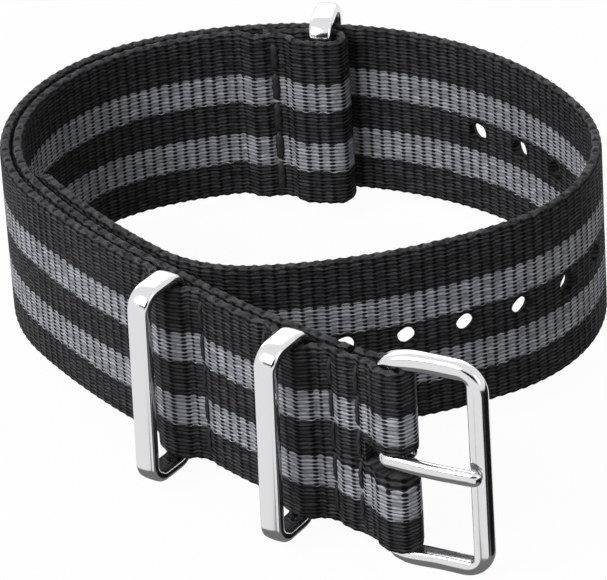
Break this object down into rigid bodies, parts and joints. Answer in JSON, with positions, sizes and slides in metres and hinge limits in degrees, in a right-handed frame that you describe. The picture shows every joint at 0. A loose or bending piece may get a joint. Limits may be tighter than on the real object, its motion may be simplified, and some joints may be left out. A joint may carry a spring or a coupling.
{
  "type": "nato watch strap",
  "caption": "Slip-through watch strap of striped woven tape, closed in its loop, with tang buckle, two keeper rings and an end ring.",
  "frame": {"origin": "below the middle of the strap's bounding box, at the level of the buckle's lower edge, its lowest point", "axes": "+Z across the tape's width, upright; +Y from the buckle to the back of the loop, its longest extent; +X to the right seen from the buckle side"},
  "size_m": [0.0634, 0.0838, 0.0248],
  "materials": {
    "webbing": "woven nylon tape, black with two grey stripes",
    "seam_thread": "black sewing thread",
    "polished_steel": "mirror-polished stainless steel",
    "drawn_steel": "plain drawn stainless steel"
  },
  "bodies": {
    "strap": {"main_band": "webbing", "short_band": "webbing", "buckle_fold_seam": "seam_thread", "front_keeper_right_seam": "seam_thread", "front_keeper_left_seam": "seam_thread", "middle_keeper_right_seam": "seam_thread", "middle_keeper_left_seam": "seam_thread", "end_ring_seam": "seam_thread"},
    "buckle": {"buckle_frame": "polished_steel", "bar_tube": "drawn_steel", "bar_spring": "drawn_steel"},
    "tongue": {"buckle_tongue": "polished_steel"},
    "upper_plunger": {"bar_upper_plunger": "drawn_steel"},
    "lower_plunger": {"bar_lower_plunger": "drawn_steel"},
    "front_keeper_ring": {"front_keeper": "polished_steel"},
    "middle_keeper_ring": {"middle_keeper": "polished_steel"},
    "end_keeper_ring": {"end_ring": "polished_steel"}
  },
  "joints": [
    {"name": "buckle_swing", "type": "hinge", "parent": "strap", "child": "buckle", "pos_m": [0.00744, -0.03533, 0.0124], "axis": [0, 0, -1], "range_deg": [-90, 25]},
    {"name": "tongue_lift", "type": "hinge", "parent": "buckle", "child": "tongue", "pos_m": [0.00744, -0.03533, 0.0124], "axis": [0, 0, -1], "range_deg": [0, 80]},
    {"name": "upper_plunger_press", "type": "slide", "parent": "buckle", "child": "upper_plunger", "axis": [0, 0, -1], "range_m": [0, 0.00135], "stiffness_N_per_m": 200, "springref_m": -0.001, "deforming": ["bar_spring"]},
    {"name": "lower_plunger_press", "type": "slide", "parent": "buckle", "child": "lower_plunger", "axis": [0, 0, 1], "range_m": [0, 0.00135], "stiffness_N_per_m": 200, "springref_m": -0.001},
    {"name": "front_keeper_swing", "type": "hinge", "parent": "strap", "child": "front_keeper_ring", "pos_m": [-0.00182, -0.02854, 0.01285], "axis": [0, 0, 1], "range_deg": [-22, 6]},
    {"name": "middle_keeper_swing", "type": "hinge", "parent": "strap", "child": "middle_keeper_ring", "pos_m": [-0.01398, -0.01554, 0.01285], "axis": [0, 0, 1], "range_deg": [-26, 2]},
    {"name": "end_ring_swing", "type": "hinge", "parent": "strap", "child": "end_keeper_ring", "pos_m": [0.00325, 0.03527, 0.013], "axis": [0, 0, 1], "range_deg": [-10, 10]}
  ]
}
